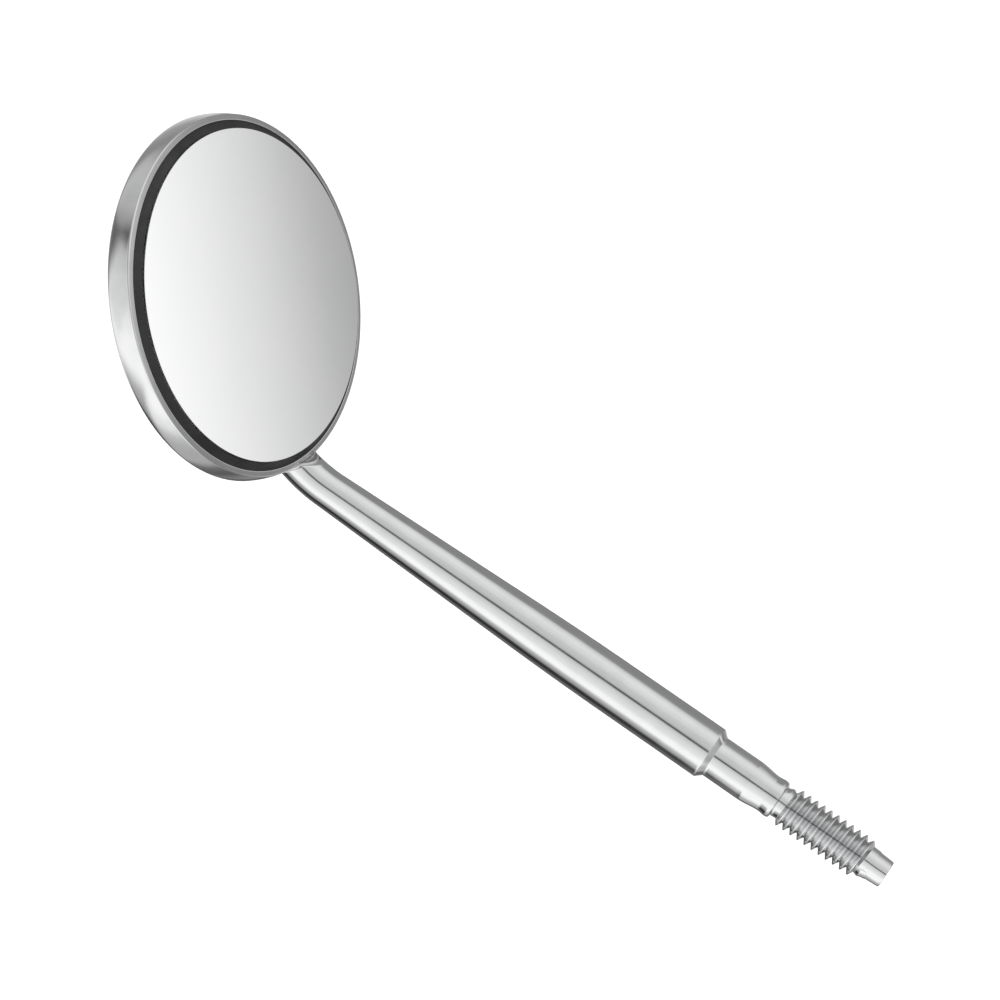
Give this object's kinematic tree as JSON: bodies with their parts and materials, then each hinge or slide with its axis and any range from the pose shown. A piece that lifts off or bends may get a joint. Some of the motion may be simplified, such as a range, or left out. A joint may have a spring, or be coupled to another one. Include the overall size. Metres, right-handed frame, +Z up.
{
  "type": "mouth mirror head",
  "caption": "Round plane mouth mirror in a shallow polished steel cup, on a tapered bent stem with a threaded tail that screws into a handle.",
  "frame": {"origin": "on the stem's axis at the foot of the shoulder, where the plain neck starts", "axes": "X along the stem with the thread at -X and the head at +X, Z up on the side that the mirror faces, Y across the mirror"},
  "size_m": [0.0527, 0.02, 0.0173],
  "materials": {
    "stem_steel": "polished stainless steel",
    "cup_steel": "polished stainless steel",
    "braze": "dressed filler metal, satin",
    "glass": "clear with ground edge",
    "coating": "front-surface mirror film",
    "seal": "black, satin",
    "pad": "bedding compound"
  },
  "bodies": {
    "root": {"stem": "stem_steel", "head_cup": "cup_steel", "braze_fillet": "braze", "mirror_glass": "glass", "reflective_coating": "coating", "seal_ring": "seal", "backing_pad": "pad"}
  },
  "joints": []
}
